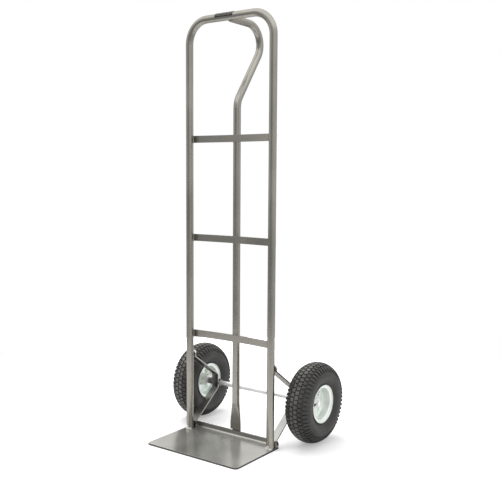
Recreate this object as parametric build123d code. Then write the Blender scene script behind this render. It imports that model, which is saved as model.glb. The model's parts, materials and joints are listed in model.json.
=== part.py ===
from build123d import *
import os
from math import cos, pi, radians, sin, sqrt, tan

# A sack truck, in millimetres and degrees.
# X runs across the truck, with left at -X as seen from the toe plate's side.
# The toe plate points to -Y, the wheels stand at +Y, and Z is up from the floor.
# Reaches and setbacks along Y are counted from the plane of the two uprights.

# Bent tube of the frame loop and the P handle
tube_diameter = 23.5
tube_wall = 2.0
tyre_clearance = 13.5
loop_height = 1323.0
loop_bend_radius = 70.0

# Flat crossbars, bowed backwards so that they meet the handle's post
crossbar_height = 22.0
crossbar_thickness = 4.0
crossbar_bow = 10.0
crossbar_overhang = 4.0
crossbar_lowest = 321.2
crossbar_pitch = 313.2

# P handle: post, slope, round end and top run, with a foot pressed flat
handle_reach = 117.0
handle_slope = 35.6
handle_bend_radius = 65.0
handle_end_radius = 60.0
handle_drop = 8.2
handle_joint_drop = 5.0
handle_cope = 6.0
foot_thickness = 6.0
foot_edge_height = 5.6
foot_spread = 4.5
foot_flat_top = 45.0
foot_round_top = 110.0
foot_clearance = 3.0

# Rubber ladder on the top bar: ribs between two edge strips
grip_start = -50.0
grip_length = 66.0
grip_thickness = 1.0
grip_rib_height = 1.5
grip_rib_width = 2.8
grip_rib_pitch = 7.0
grip_rear_angle = 30.0
grip_front_angle = 95.0
grip_edge_angle = 14.0

# Folded toe plate
toe_overhang = 3.25
toe_reach = 191.0
toe_thickness = 5.0
toe_bend_radius = 4.0
toe_corner_radius = 13.0
toe_edge_radius = 1.2
flange_setback = 33.0
flange_height = 20.5
flange_inset = 5.0
flange_corner_radius = 10.0

# Bent axle straps with a welded sleeve
strap_width = 25.0
strap_thickness = 4.0
strap_bend_radius = 6.0
strap_top = 263.0
strap_upper_bend = 243.0
strap_lower_bend = 22.0
strap_foot_clearance = 0.5
strap_bolt_height = 254.5
strap_upright_length = 47.0
strap_below_axle = 14.0
sleeve_diameter = 22.0
sleeve_overhang = 1.5

# Axle
axle_diameter = 16.0
axle_setback = 145.0
axle_end = 5.0
axle_washer_diameter = 30.0
axle_washer_thickness = 1.6
pin_diameter = 3.2
pin_eye_diameter = 8.0
pin_leg = 5.0

# M8 fasteners, and M6 ones of the same proportions at the feet
bolt_diameter = 8.0
bolt_head_flats = 13.0
bolt_head_height = 5.3
nut_height = 6.5
washer_diameter = 16.0
washer_thickness = 1.6
bolt_tail = 2.0
foot_bolt_diameter = 6.0
foot_bolt_height = 11.4

# Wheel: tyre, rim, hub and bearings, about the wheel's own middle plane
wheel_track = 456.0
tyre_diameter = 254.0
tyre_width = 84.0
tyre_wall = 6.0
tread_depth = 4.0
tread_count = 54
tread_crown_width = 24.0
shoulder_drop = 12.0
shoulder_inset = 11.0
belly_drop = 5.5
block_width = 10.0
block_gap = 3.0
block_root = 3.0
centre_block_width = 12.0
crown_drop = 1.5
lug_lean = 50.0
lug_reach = 0.6
bead_width = 11.5
rim_seat_diameter = 100.0
rim_flange_diameter = 120.0
rim_width = 66.0
rim_lip = 6.0
rim_lip_step = 2.0
rim_lip_rise = 1.0
rim_sheet = 2.0
rim_disc_bend = 5.0
rim_flare_bend = 3.0
rim_bolt_circle = 63.0
rim_bolt_count = 4
hub_diameter = 40.0
hub_inboard = 30.0
hub_outboard = 8.0
hub_bore = 27.0
bearing_diameter = 35.0
bearing_width = 11.0
shield_depth = 0.8
race_width = 3.0
tube_skin = 3.0
valve_diameter = 8.0
valve_length = 22.0
valve_cap_diameter = 6.4
valve_cap_length = 7.0
valve_offset = 16.0

# Clearances
weld_gap = 0.1
bolt_clearance = 0.2
thread_clearance = 0.05
sleeve_clearance = 0.15
running_clearance = 0.05
seat_clearance = 0.02
rubber_clearance = 0.2
side_play = 0.2

# Derived places
tube_r = tube_diameter / 2
tube_bore_r = tube_r - tube_wall
wheel_x = wheel_track / 2
upright_spacing = wheel_track - tyre_width - strap_width - 2 * tyre_clearance
half_span = upright_spacing / 2
toe_width = upright_spacing + tube_diameter + 2 * toe_overhang
foot_width = pi * (tube_diameter - tube_wall) / 2 + tube_wall + foot_spread
axle_z = tyre_diameter / 2
frame_y = (toe_reach - axle_setback - tyre_diameter / 2) / 2
axle_y = frame_y + axle_setback
rear_y = frame_y + tube_r
bar_z = loop_height - tube_r
upright_foot_z = toe_thickness + weld_gap
post_y = rear_y + weld_gap + crossbar_bow + crossbar_thickness + weld_gap + tube_r
tab_y = rear_y + weld_gap + strap_thickness / 2
tab_rear_y = tab_y + strap_thickness / 2
washer_stack = axle_washer_thickness + 2 * side_play
sleeve_inner_reach = half_span - strap_width / 2 - sleeve_overhang
sleeve_outer_reach = wheel_x - hub_inboard - washer_stack
pin_x = wheel_x + hub_outboard + washer_stack + pin_diameter / 2
axle_half_length = pin_x + pin_diameter / 2 + axle_end
rim_seat_r = rim_seat_diameter / 2
rim_half_width = rim_width / 2
bead_r = rim_seat_r + rubber_clearance
bead_heel_x = rim_half_width - rim_lip - rim_sheet - rubber_clearance
foot_share = foot_bolt_diameter / bolt_diameter
bolt_hole_r = bolt_diameter / 2 + bolt_clearance
foot_hole_r = foot_bolt_diameter / 2 + bolt_clearance
nut_bore_r = bolt_diameter / 2 + thread_clearance
SIDES = (("left", -1), ("right", 1))


def tube_along(path):
    """Round tube along a path of straight runs and bends."""
    section = Circle(tube_r) - Circle(tube_bore_r)
    return sweep(Plane(path @ 0, z_dir=path % 0) * section, path=path)


def bent_strip(points, bend_radius, width, thickness):
    """Flat strip bent in the YZ plane along a centre line, as wide along X as given."""
    path = FilletPolyline(*[(0, y, z) for y, z in points], radius=bend_radius)
    section = Plane(path @ 0, x_dir=(1, 0, 0), z_dir=path % 0) * Rectangle(width, thickness)
    return sweep(section, path=path)


def pressed_profile(points, radii, thickness):
    """Closed outline of a pressed sheet: a centre line with round bends and an even wall."""
    line = FilletPolyline(*points, radius=radii)
    return make_face(offset(line, thickness / 2).edges())


def rod(radius, start, length):
    """Cylinder along the X axis from one end plane."""
    return Pos(X=start) * extrude(Plane.YZ * Circle(radius), length)


def ring(outer_r, inner_r, start, length):
    """Ring about the X axis from one end plane."""
    return rod(outer_r, start, length) - rod(inner_r, start, length)


def hexagon(height, share):
    """Hexagonal prism standing on the XY plane, its flats a share of the M8 ones."""
    return extrude(RegularPolygon(share * bolt_head_flats / 2, 6, major_radius=False), height)


def hex_bolt(grip, share=1):
    """Hex bolt under whose head the joint is as thick as given: shank to -Z, head to +Z."""
    shank_length = grip + share * nut_height + bolt_tail
    shank = Pos(Z=-shank_length / 2) * Cylinder(share * bolt_diameter / 2, shank_length)
    return hexagon(share * bolt_head_height, share) + shank


def hex_nut(share=1):
    """Nut standing on the XY plane."""
    height = share * nut_height
    bore_r = share * bolt_diameter / 2 + thread_clearance
    return hexagon(height, share) - Pos(Z=height / 2) * Cylinder(bore_r, height)


def flat_washer(share=1):
    """Washer standing on the XY plane."""
    bore_r = share * bolt_diameter / 2 + bolt_clearance
    return extrude(Circle(share * washer_diameter / 2) - Circle(bore_r), washer_thickness)


def facing_front(x, y, z):
    """Place that turns a fastener's +Z to the truck's front."""
    return Pos(x, y, z) * Rot(X=90)


def facing_rear(x, y, z):
    """Place that turns a fastener's +Z to the truck's rear."""
    return Pos(x, y, z) * Rot(X=-90)


def frame_loop():
    """Both uprights and the top bar, bent from one tube."""
    path = FilletPolyline(
        (-half_span, frame_y, upright_foot_z),
        (-half_span, frame_y, bar_z),
        (half_span, frame_y, bar_z),
        (half_span, frame_y, upright_foot_z),
        radius=loop_bend_radius,
    )
    loop = tube_along(path)
    rear_hole = Pos(Z=tube_r) * Cylinder(nut_bore_r, tube_diameter)
    through_hole = Cylinder(foot_hole_r, 2 * tube_diameter)
    for _, side in SIDES:
        loop -= facing_rear(side * half_span, frame_y, strap_bolt_height) * rear_hole
        loop -= facing_rear(side * half_span, frame_y, foot_bolt_height) * through_hole
    return loop


def crossbar(level):
    """Strip on edge whose bowed front face is tangent to the rear of both uprights."""
    contact_r = tube_r + weld_gap
    bow_depth = contact_r + crossbar_bow
    front_radius = (half_span**2 + bow_depth**2 - contact_r**2) / (2 * crossbar_bow)
    centre_y = frame_y + bow_depth - front_radius
    half_length = half_span + crossbar_overhang

    def face_arc(radius):
        end_y = centre_y + sqrt(radius**2 - half_length**2)
        return ThreePointArc((-half_length, end_y), (0, centre_y + radius), (half_length, end_y))

    front = face_arc(front_radius)
    rear = face_arc(front_radius + crossbar_thickness)
    outline = make_face([front, Line(front @ 1, rear @ 1), rear, Line(rear @ 0, front @ 0)])
    return Pos(Z=level - crossbar_height / 2) * extrude(outline, crossbar_height)


def oval(width, depth, end_x, end_y):
    """Closed outline of four arcs, round like the tube or pressed flat."""
    return make_face([
        ThreePointArc((end_x, -end_y), (width / 2, 0), (end_x, end_y)),
        ThreePointArc((end_x, end_y), (0, depth / 2), (-end_x, end_y)),
        ThreePointArc((-end_x, end_y), (-width / 2, 0), (-end_x, -end_y)),
        ThreePointArc((-end_x, -end_y), (0, -depth / 2), (end_x, -end_y)),
    ])


def p_handle():
    """Post with a pressed-flat foot, bent back and round into the rear of the top bar."""
    slope = radians(handle_slope)
    top_z = bar_z - handle_drop
    end_centre_y = post_y + handle_reach - handle_end_radius
    end_centre_z = top_z - handle_end_radius
    tangent_y = end_centre_y + handle_end_radius * cos(slope)
    tangent_z = end_centre_z - handle_end_radius * sin(slope)
    vertex_z = tangent_z - (tangent_y - post_y) / tan(slope)
    corner_y = tangent_y + (top_z - tangent_z) * tan(slope)
    path = FilletPolyline(
        (0, post_y, foot_round_top),
        (0, post_y, vertex_z),
        (0, corner_y, top_z),
        (0, frame_y + handle_cope, bar_z - handle_joint_drop),
        radius=[handle_bend_radius, handle_end_radius],
    )
    bar = Pos(0, frame_y, bar_z) * Rot(Y=90) * Cylinder(tube_r + weld_gap, upright_spacing)
    handle = tube_along(path) - bar
    foot_y = frame_y + flange_setback + weld_gap + foot_thickness / 2
    round_corner = tube_r * sqrt(0.5)
    round_end = oval(tube_diameter, tube_diameter, round_corner, round_corner)
    flat_corner_x = (foot_width - foot_thickness) / 2
    flat_end = oval(foot_width, foot_thickness, flat_corner_x, foot_edge_height / 2)
    pressed = loft([
        Pos(0, foot_y, foot_flat_top) * flat_end,
        Pos(0, post_y, foot_round_top) * round_end,
    ])
    flat = extrude(Pos(0, foot_y, foot_clearance) * flat_end, foot_flat_top - foot_clearance)
    return handle + pressed + flat


def hand_grip():
    """Rubber ladder over the top and front of the top bar, open between its ribs."""
    inner_r = tube_r + weld_gap
    turn = grip_rear_angle + grip_front_angle
    window_width = grip_rib_pitch - grip_rib_width
    rib_count = int((grip_length - grip_rib_width) // grip_rib_pitch) + 1
    margin = (grip_length - grip_rib_width - (rib_count - 1) * grip_rib_pitch) / 2

    def band(start, width, height, angle):
        section = Pos(start + width / 2, inner_r + height / 2) * Rectangle(width, height)
        return revolve(section, Axis.X, angle)

    ladder = band(0, grip_length, grip_thickness, turn)
    for rib in range(rib_count):
        ladder += band(margin + rib * grip_rib_pitch, grip_rib_width, grip_rib_height, turn)
    for rib in range(rib_count - 1):
        start = margin + rib * grip_rib_pitch + grip_rib_width
        window = band(start, window_width, grip_rib_height, turn - 2 * grip_edge_angle)
        ladder -= Rot(X=grip_edge_angle) * window
    return Pos(grip_start, frame_y, bar_z) * Rot(X=90 - grip_rear_angle) * ladder


def toe_plate():
    """Sheet folded up at the back, with rounded front corners and a narrower flange."""
    flange_y = frame_y + flange_setback - toe_thickness / 2
    plate = bent_strip(
        [
            (frame_y - toe_reach, toe_thickness / 2),
            (flange_y, toe_thickness / 2),
            (flange_y, flange_height),
        ],
        toe_bend_radius + toe_thickness / 2,
        toe_width,
        toe_thickness,
    )
    fold = 2 * (toe_bend_radius + toe_thickness)
    notch = Box(flange_inset, fold, 2 * flange_height)
    for _, side in SIDES:
        plate -= Pos(side * (toe_width - flange_inset) / 2, frame_y + flange_setback) * notch
    front_corners = plate.edges().filter_by(Axis.Z).sort_by(Axis.Y)[:2]
    plate = fillet(front_corners, toe_corner_radius)
    flange_corners = plate.edges().filter_by(Axis.Y).sort_by(Axis.Z)[-2:]
    plate = fillet(flange_corners, flange_corner_radius)
    bed = plate.faces().filter_by(Axis.Z).sort_by(SortBy.AREA)[-2:].sort_by(Axis.Z)[-1]
    rim = bed.edges().sort_by(Axis.Y)[:5]
    return fillet(rim, toe_edge_radius)


def axle_strap():
    """Flat bar from a tab on the upright, back round the axle, to a tab at the foot."""
    back_y = axle_y - sleeve_diameter / 2 - weld_gap - strap_thickness / 2
    lower_z = axle_z - strap_below_axle
    strap = bent_strip(
        [
            (tab_y, strap_top),
            (tab_y, strap_upper_bend),
            (back_y, lower_z + strap_upright_length),
            (back_y, lower_z),
            (tab_y, strap_lower_bend),
            (tab_y, toe_thickness + strap_foot_clearance),
        ],
        strap_bend_radius,
        strap_width,
        strap_thickness,
    )
    ends = strap.edges().filter_by(Axis.Y).sort_by(Axis.Z)
    strap = fillet(ends[-2:], strap_width / 2 - weld_gap)
    for height, hole_r in ((strap_bolt_height, bolt_hole_r), (foot_bolt_height, foot_hole_r)):
        strap -= facing_rear(0, tab_y, height) * Cylinder(hole_r, 2 * strap_thickness)
    return strap


def axle_sleeve():
    """Tube welded behind the strap, reaching out to the wheel's washer."""
    bore_r = axle_diameter / 2 + sleeve_clearance
    length = sleeve_outer_reach - sleeve_inner_reach
    return ring(sleeve_diameter / 2, bore_r, sleeve_inner_reach, length)


def axle():
    """Straight rod with a cross hole for a split pin at each end."""
    bar = rod(axle_diameter / 2, -axle_half_length, 2 * axle_half_length)
    hole = Cylinder(pin_diameter / 2 + bolt_clearance, 2 * axle_diameter)
    return bar - Pos(X=pin_x) * hole - Pos(X=-pin_x) * hole


def axle_washer(start):
    """Thrust washer on the axle."""
    bore_r = axle_diameter / 2 + sleeve_clearance
    return ring(axle_washer_diameter / 2, bore_r, start, axle_washer_thickness)


def split_pin():
    """Split pin through the axle, its eye above and its legs below."""
    top = axle_diameter / 2 + bolt_clearance
    bottom = -axle_diameter / 2 - pin_leg
    shank = Pos(Z=(top + bottom) / 2) * Cylinder(pin_diameter / 2, top - bottom)
    eye_r = (pin_eye_diameter - pin_diameter / 2) / 2
    eye = Pos(Z=top + eye_r) * Rot(Y=90) * Torus(eye_r, pin_diameter / 4)
    return Pos(X=pin_x) * (shank + eye)


def casing_corners():
    """Crown, shoulder and belly of the tyre's casing."""
    crown = Vector(tread_crown_width / 2, tyre_diameter / 2 - tread_depth)
    shoulder = Vector(tyre_width / 2 - shoulder_inset, crown.Y - shoulder_drop)
    belly_r = (rim_flange_diameter + tyre_diameter) / 4 - belly_drop
    return crown, shoulder, Vector(tyre_width / 2, belly_r)


def casing_face(inset):
    """Section of the tyre without its tread, both halves, set in evenly."""
    crown, shoulder, belly = casing_corners()
    heel = Vector(bead_heel_x, bead_r)
    edge = Vector(bead_heel_x + rim_sheet, rim_flange_diameter / 2 + rubber_clearance)
    half = make_face([
        Line((0, crown.Y), crown),
        Line(crown, shoulder),
        ThreePointArc(shoulder, belly, edge),
        Line(edge, heel),
        Line(heel, (0, bead_r)),
        Line((0, bead_r), (0, crown.Y)),
    ])
    return offset(half + mirror(half, Plane.YZ), -inset)


def tyre():
    """Casing that bulges over the rim flanges, open between its beads, with blocks all round."""
    mouth = Pos(Y=bead_r) * Rectangle(2 * (bead_heel_x - bead_width), 3 * tyre_wall)
    section = casing_face(0) - casing_face(tyre_wall) - mouth
    return revolve(section, Axis.X) + tread_blocks()


def tread_blocks():
    """Two rows of blocks over the crown and a row of lugs over each shoulder, all staggered."""
    crown, shoulder, belly = casing_corners()
    top_r = sqrt((tyre_diameter / 2) ** 2 - (block_width / 2) ** 2)
    root = Vector(0, -block_root)
    root_r = crown.Y - block_root
    inner_x = block_gap / 2
    outer_x = inner_x + centre_block_width
    lug_x = outer_x + block_gap
    lug_seat = crown + (shoulder - crown) * ((lug_x - crown.X) / (shoulder.X - crown.X))
    lean = radians(lug_lean)
    lug_shoulder = shoulder + Vector(cos(lean), sin(lean)) * tread_depth
    lug_end = shoulder + (belly - shoulder) * lug_reach
    block = Polyline(
        (inner_x, top_r),
        (outer_x, top_r - crown_drop),
        (outer_x, root_r),
        (inner_x, root_r),
        close=True,
    )
    lug = Polyline(
        lug_seat + Vector(0, tread_depth),
        lug_shoulder,
        lug_end,
        lug_end - Vector(block_root, 0),
        shoulder + root,
        lug_seat + root,
        close=True,
    )
    near_row = [extrude(make_face(outline), block_width / 2, both=True) for outline in (block, lug)]
    far_row = [mirror(piece, Plane.YZ) for piece in near_row]
    pitch = 360 / tread_count
    blocks = []
    for step in range(tread_count):
        turn = Rot(X=step * pitch - 180)
        stagger = Rot(X=(step + 0.5) * pitch - 180)
        blocks += [turn * near_row[0], stagger * near_row[1]]
        blocks += [stagger * far_row[0], turn * far_row[1]]
    return blocks


def inner_tube():
    """Inflated tube with an even skin that fills the casing."""
    inset = tyre_wall + rubber_clearance
    return revolve(casing_face(inset) - casing_face(inset + tube_skin), Axis.X)


def rim_half():
    """Pressed dish: disc at the middle plane, barrel under the bead and a rolled lip."""
    disc_x = rim_sheet / 2
    barrel_r = rim_seat_r - rim_sheet / 2
    lip_r = rim_flange_diameter / 2 - rim_sheet / 2
    flange_x = rim_half_width - rim_lip
    hole_r = hub_diameter / 2 + seat_clearance + rim_sheet / 2
    profile = pressed_profile(
        [
            (disc_x, hole_r),
            (disc_x, barrel_r),
            (flange_x, barrel_r),
            (flange_x + rim_lip_step, lip_r - rim_lip_rise),
            (rim_half_width - rim_sheet / 2, lip_r),
        ],
        [rim_disc_bend, rim_flare_bend, rim_sheet],
        rim_sheet,
    )
    half = revolve(profile, Axis.X)
    hole = Rot(Y=90) * Cylinder(bolt_hole_r, 4 * rim_sheet)
    for place in rim_bolt_places():
        half -= place * hole
    return half


def rim_bolt_places():
    """Places of the rim bolts about the wheel's axis."""
    pitch = 360 / rim_bolt_count
    return [Rot(X=(step + 0.5) * pitch) * Pos(Z=rim_bolt_circle / 2) for step in range(rim_bolt_count)]


def rim_bolts():
    """Bolts through both rim halves, heads outboard."""
    bolt = Pos(X=rim_sheet) * Rot(Y=90) * hex_bolt(2 * rim_sheet)
    return [place * bolt for place in rim_bolt_places()]


def rim_nuts():
    """Nuts against the inboard rim half."""
    nut = Pos(X=-rim_sheet) * Rot(Y=-90) * hex_nut()
    return [place * nut for place in rim_bolt_places()]


def hub():
    """Hub tube, offset inboard, with a bearing seat in each end."""
    length = hub_inboard + hub_outboard
    seat_r = bearing_diameter / 2 + seat_clearance
    seat_depth = bearing_width + seat_clearance
    body = ring(hub_diameter / 2, hub_bore / 2, -hub_inboard, length)
    inboard_seat = rod(seat_r, -hub_inboard, seat_depth)
    outboard_seat = rod(seat_r, hub_outboard - seat_depth, seat_depth)
    return body - inboard_seat - outboard_seat


def bearing(start):
    """Shielded ball bearing, its shields set back between the two races."""
    outer_r = bearing_diameter / 2
    inner_r = axle_diameter / 2 + running_clearance
    body = ring(outer_r, inner_r, start, bearing_width)
    shield = ring(outer_r - race_width, inner_r + race_width, start, shield_depth)
    return body - shield - Pos(X=bearing_width - shield_depth) * shield


def valve_stem():
    """Valve from the inner tube through the outboard barrel, on the wheel's front side."""
    neck = Pos(Z=rim_seat_r - valve_length / 2) * Cylinder(valve_diameter / 2, valve_length)
    cap_z = rim_seat_r - valve_length - valve_cap_length / 2
    cap = Pos(Z=cap_z) * Cylinder(valve_cap_diameter / 2, valve_cap_length)
    return Pos(X=valve_offset) * Rot(X=90) * (neck + cap)


def valve_hole():
    """Hole for the valve in the outboard barrel."""
    drill = Pos(0, 0, rim_seat_r) * Cylinder(valve_diameter / 2 + rubber_clearance, 4 * rim_sheet)
    return Pos(X=valve_offset) * Rot(X=90) * drill


def wheel_pieces():
    """Pieces of a wheel at the origin, outboard to +X."""
    dish = rim_half()
    return {
        "tyre": tyre(),
        "inner_tube": inner_tube(),
        "outer_rim": dish - valve_hole(),
        "inner_rim": mirror(dish, Plane.YZ),
        "hub": hub(),
        "bearings": [bearing(-hub_inboard), bearing(hub_outboard - bearing_width)],
        "rim_bolts": rim_bolts(),
        "rim_nuts": rim_nuts(),
        "valve_stem": valve_stem(),
    }


def on_side(shape, side):
    """Right-hand piece as it is, or mirrored to the left."""
    return shape if side > 0 else mirror(shape, Plane.YZ)


def frame_pieces():
    """Welded and bolted pieces of the frame, and the axle."""
    nodes = {
        "frame_loop": frame_loop(),
        "p_handle": p_handle(),
        "hand_grip": hand_grip(),
        "toe_plate": toe_plate(),
        "axle": Pos(0, axle_y, axle_z) * axle(),
    }
    for index, name in enumerate(("lower", "middle", "upper")):
        nodes[f"{name}_crossbar"] = crossbar(crossbar_lowest + index * crossbar_pitch)
    strap = Pos(X=half_span) * axle_strap()
    sleeve = Pos(0, axle_y, axle_z) * axle_sleeve()
    for name, side in SIDES:
        nodes[f"{name}_axle_strap"] = on_side(strap, side)
        nodes[f"{name}_axle_sleeve"] = on_side(sleeve, side)
    return nodes


def fastener_pieces():
    """Fasteners, one group of equal pieces to a node."""
    front_y = frame_y - tube_r - weld_gap
    nut_y = tab_rear_y + washer_thickness
    foot_bolt = hex_bolt(nut_y - front_y, foot_share)
    strap_bolt = hex_bolt(nut_y - frame_y - nut_height)
    hub_inner = wheel_x - hub_inboard - side_play - axle_washer_thickness
    hub_outer = wheel_x + hub_outboard + side_play
    pieces = {
        "foot_bolts": facing_front(half_span, front_y, foot_bolt_height) * foot_bolt,
        "foot_washers": facing_rear(half_span, tab_rear_y, foot_bolt_height) * flat_washer(foot_share),
        "foot_nuts": facing_rear(half_span, nut_y, foot_bolt_height) * hex_nut(foot_share),
        "strap_washers": facing_rear(half_span, tab_rear_y, strap_bolt_height) * flat_washer(),
        "strap_bolts": facing_rear(half_span, nut_y, strap_bolt_height) * strap_bolt,
        "inner_axle_washers": Pos(0, axle_y, axle_z) * axle_washer(hub_inner),
        "outer_axle_washers": Pos(0, axle_y, axle_z) * axle_washer(hub_outer),
        "split_pins": Pos(0, axle_y, axle_z) * split_pin(),
    }
    return {name: [on_side(piece, side) for _, side in SIDES] for name, piece in pieces.items()}


def write_nodes():
    """One file to a node, a group of pieces as separate solids."""
    nodes = frame_pieces() | fastener_pieces()
    place = Pos(wheel_x, axle_y, axle_z)
    for node, shape in wheel_pieces().items():
        solids = shape if isinstance(shape, list) else [shape]
        for name, side in SIDES:
            nodes[f"{name}_{node}"] = [on_side(place * solid, side) for solid in solids]
    os.makedirs("parts", exist_ok=True)
    for node, shape in nodes.items():
        solids = shape if isinstance(shape, list) else [shape]
        body = solids[0] if len(solids) == 1 else Compound(children=solids)
        export_step(body, f"parts/{node}.step")


write_nodes()
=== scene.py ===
# %% [markdown]
# # A sack truck in a white studio
# The truck is a bent-tube frame on two pneumatic wheels. Its solids arrive as a fixed frame,
# already at their real size and place. Everything below gives those solids a finish, adds
# what is too fine for them, such as weld beads and moulded tread, and lights the result.

# %% Load the fixed frame
import json
import math

import bmesh
import bpy
from mathutils import Matrix, Vector


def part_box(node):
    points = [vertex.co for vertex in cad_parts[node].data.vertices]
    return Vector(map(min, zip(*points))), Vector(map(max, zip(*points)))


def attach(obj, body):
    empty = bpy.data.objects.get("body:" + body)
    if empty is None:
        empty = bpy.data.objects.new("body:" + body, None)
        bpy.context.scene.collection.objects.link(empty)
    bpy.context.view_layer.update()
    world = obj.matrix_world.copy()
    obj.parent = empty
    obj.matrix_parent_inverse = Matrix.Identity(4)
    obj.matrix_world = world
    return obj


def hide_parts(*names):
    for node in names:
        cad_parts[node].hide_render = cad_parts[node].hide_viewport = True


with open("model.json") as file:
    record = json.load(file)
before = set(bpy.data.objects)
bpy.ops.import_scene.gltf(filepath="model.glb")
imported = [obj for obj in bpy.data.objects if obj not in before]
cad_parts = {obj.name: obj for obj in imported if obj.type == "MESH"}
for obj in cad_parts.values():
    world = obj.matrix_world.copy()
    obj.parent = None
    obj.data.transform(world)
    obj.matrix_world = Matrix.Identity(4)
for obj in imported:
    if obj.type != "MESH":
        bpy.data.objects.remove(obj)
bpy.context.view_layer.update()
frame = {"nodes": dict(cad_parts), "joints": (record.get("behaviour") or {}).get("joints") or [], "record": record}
nodes = frame["nodes"]
print("nodes in the frame:", len(nodes))

# %% [markdown]
# ## Measures that the frame already holds
# A piece that is added here has to sit exactly on what carries it. So the tube's radius, the
# wheel centres and the bar's height are read from the solids' boxes and from the joints. Only
# what a box can't tell, such as the rim's bolt circle, is repeated where it is needed.

# %% Read sizes and places
MM = 0.001


def middle(node_name):
    """Middle of a node's box."""
    low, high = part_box(node_name)
    return (low + high) / 2


def extent(node_name):
    """Size of a node's box."""
    low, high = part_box(node_name)
    return high - low


tube_radius = extent("frame_loop").y / 2
frame_y = middle("frame_loop").y
upright_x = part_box("frame_loop")[1].x - tube_radius
bar_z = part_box("frame_loop")[1].z - tube_radius
axle_place = middle("axle")
wheel_places = {joint["child"]: Vector(joint["pos_m"]) for joint in frame["joints"]}
tyre_radius = extent("right_tyre").z / 2
print("tube radius", round(tube_radius, 4), "tyre radius", round(tyre_radius, 4))

# %% [markdown]
# ## A short way to write node trees
# Shader trees and geometry trees are built from the same few calls: make a node, set what is
# fixed, and link what comes from another node. One helper does all three, so that each
# finish below reads like a recipe.


# %% Helpers for node trees
def node(tree, kind, inputs=None, **settings):
    """Add a node; an input given as a socket is linked, and any other value is set."""
    made = tree.nodes.new(kind)
    for name, value in settings.items():
        setattr(made, name, value)
    for name, value in (inputs or {}).items():
        if isinstance(value, bpy.types.NodeSocket):
            tree.links.new(value, made.inputs[name])
        else:
            made.inputs[name].default_value = value
    return made


def math_node(tree, operation, first, second=0.0, clamp=False):
    """Arithmetic on two values or sockets."""
    made = node(tree, "ShaderNodeMath", {0: first, 1: second}, operation=operation, use_clamp=clamp)
    return made.outputs[0]


def blend_colour(tree, share, first, second):
    """Mix two colours by a share from 0 to 1."""
    inputs = {0: share, 6: first, 7: second}
    return node(tree, "ShaderNodeMix", inputs, data_type="RGBA").outputs[2]


def spread(tree, value, low, high, to_low=0.0, to_high=1.0):
    """Stretch a value's range to another one, clamped."""
    inputs = {0: value, 1: low, 2: high, 3: to_low, 4: to_high}
    return node(tree, "ShaderNodeMapRange", inputs).outputs[0]


print("helpers for node trees are ready")

# %% [markdown]
# ## Effects that several finishes share
# Sprayed paint, zinc plate and moulded rubber all vary on two scales: a fine grain that the
# eye reads as texture, and soft clouds from handling and dust. Drawn metal adds long lines
# along one direction, and painted shade, painted highlights and the tyre's scuffs change with
# the height or with the distance from the axle. The nodes could be repeated in every material.
# As a group each effect is built once, and every finish places it with its own values.

# %% Grain and clouds
NOISES = {"Grain": {"Detail": 3.0, "Roughness": 0.6}, "Cloud": {"Detail": 2.5, "Roughness": 0.5}}


def shader_group(name, inputs, outputs):
    """Empty shader group with float inputs and outputs."""
    tree = bpy.data.node_groups.new(name, "ShaderNodeTree")
    for socket_name, default in inputs.items():
        socket = tree.interface.new_socket(socket_name, in_out="INPUT", socket_type="NodeSocketFloat")
        socket.default_value = default
    for socket_name in outputs:
        tree.interface.new_socket(socket_name, in_out="OUTPUT", socket_type="NodeSocketFloat")
    return tree, tree.nodes.new("NodeGroupInput").outputs, tree.nodes.new("NodeGroupOutput").inputs


def make_skin():
    """Fine grain and soft clouds, per metre of surface."""
    tree, given, result = shader_group("skin", {"Grain Scale": 900.0, "Cloud Scale": 9.0}, NOISES)
    place = node(tree, "ShaderNodeTexCoord").outputs["Object"]
    for effect, settings in NOISES.items():
        inputs = {"Vector": place, "Scale": given[effect + " Scale"], **settings}
        noise = node(tree, "ShaderNodeTexNoise", inputs)
        tree.links.new(noise.outputs["Fac"], result[effect])
    return tree


skin = make_skin()
print("group", skin.name, "puts out", list(NOISES))

# %% Lines of drawn metal
LINE_NOISE = {"Detail": 4.0, "Roughness": 0.7}


def make_drawn_lines():
    """Long thin lines along X, from noise that is stretched that way."""
    tree, given, result = shader_group("lines", {"Along X": 1.0, "Scale": 400.0}, ("Lines",))
    place = node(tree, "ShaderNodeTexCoord").outputs["Object"]
    stretch = node(tree, "ShaderNodeCombineXYZ", {0: given["Along X"], 1: 1.0, 2: 1.0}).outputs[0]
    turned = node(tree, "ShaderNodeVectorMath", {0: place, 1: stretch}, operation="MULTIPLY").outputs[0]
    inputs = {"Vector": turned, "Scale": given["Scale"], **LINE_NOISE}
    noise = node(tree, "ShaderNodeTexNoise", inputs)
    tree.links.new(noise.outputs["Fac"], result["Lines"])
    return tree


drawn_lines = make_drawn_lines()
print("group", drawn_lines.name, "is stretched along X")


# %% Distance from the axle, and height
def own_axes(tree):
    """The three coordinates of a point on the piece itself."""
    place = node(tree, "ShaderNodeTexCoord").outputs["Object"]
    return node(tree, "ShaderNodeSeparateXYZ", {0: place}).outputs


def make_axle_distance():
    """Distance from the axle's line, in millimetres."""
    tree, _, result = shader_group("axle_distance", {}, ("Distance",))
    place = node(tree, "ShaderNodeTexCoord").outputs["Object"]
    across = Vector((0.0, 1.0, 1.0))
    flat = node(tree, "ShaderNodeVectorMath", {0: place, 1: across}, operation="MULTIPLY").outputs[0]
    centre = Vector((0.0, axle_place.y, axle_place.z))
    reach = node(tree, "ShaderNodeVectorMath", {0: flat, 1: centre}, operation="DISTANCE").outputs["Value"]
    tree.links.new(math_node(tree, "MULTIPLY", reach, 1 / MM), result["Distance"])
    return tree


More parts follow.
